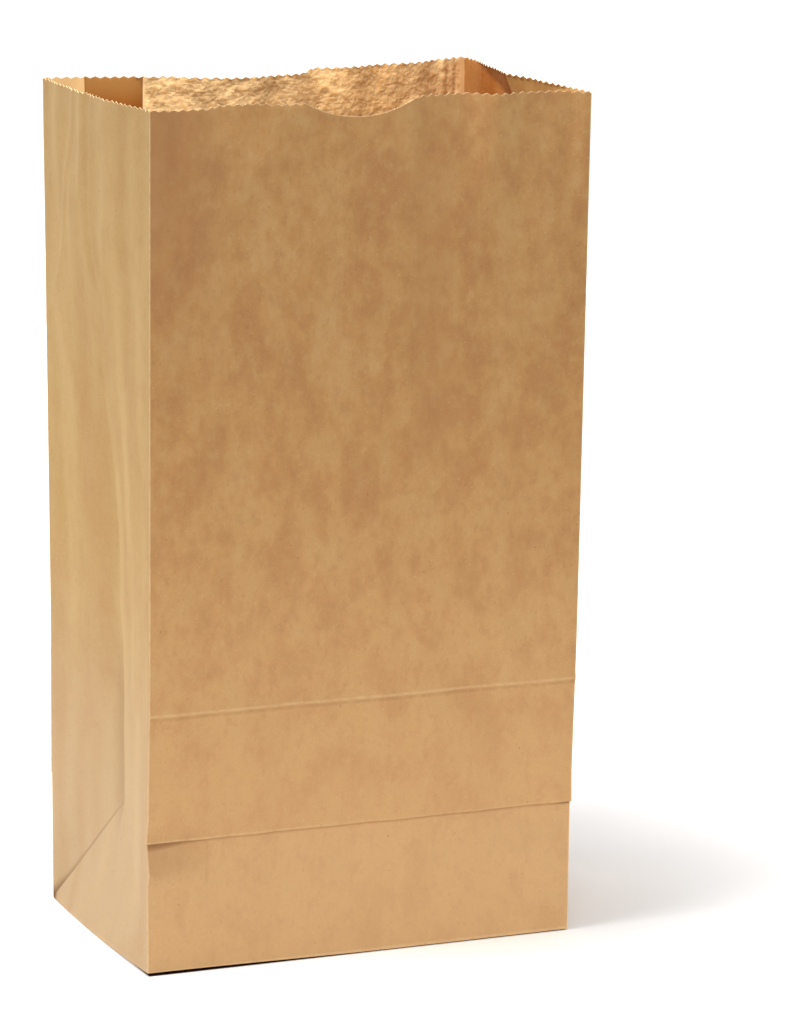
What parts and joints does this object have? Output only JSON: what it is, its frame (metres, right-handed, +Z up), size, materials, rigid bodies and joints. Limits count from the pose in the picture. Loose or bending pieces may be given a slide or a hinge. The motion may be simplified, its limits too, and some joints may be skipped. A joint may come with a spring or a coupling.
{
  "type": "paper lunch bag",
  "caption": "Open brown kraft paper bag, standing, with gusseted sides, folded flat bottom, pinked mouth and thumb notch.",
  "frame": {"origin": "centre of the bag's outline seen from above, on the ground that it stands on", "axes": "+Z up out of the open mouth, +X along the bag's width, -Y towards the front panel with the thumb notch"},
  "size_m": [0.161, 0.1012, 0.2866],
  "materials": {
    "kraft_paper": "matte unbleached kraft paper, creased and rumpled"
  },
  "bodies": {
    "root": {"paper_bag": "kraft_paper"}
  },
  "joints": []
}
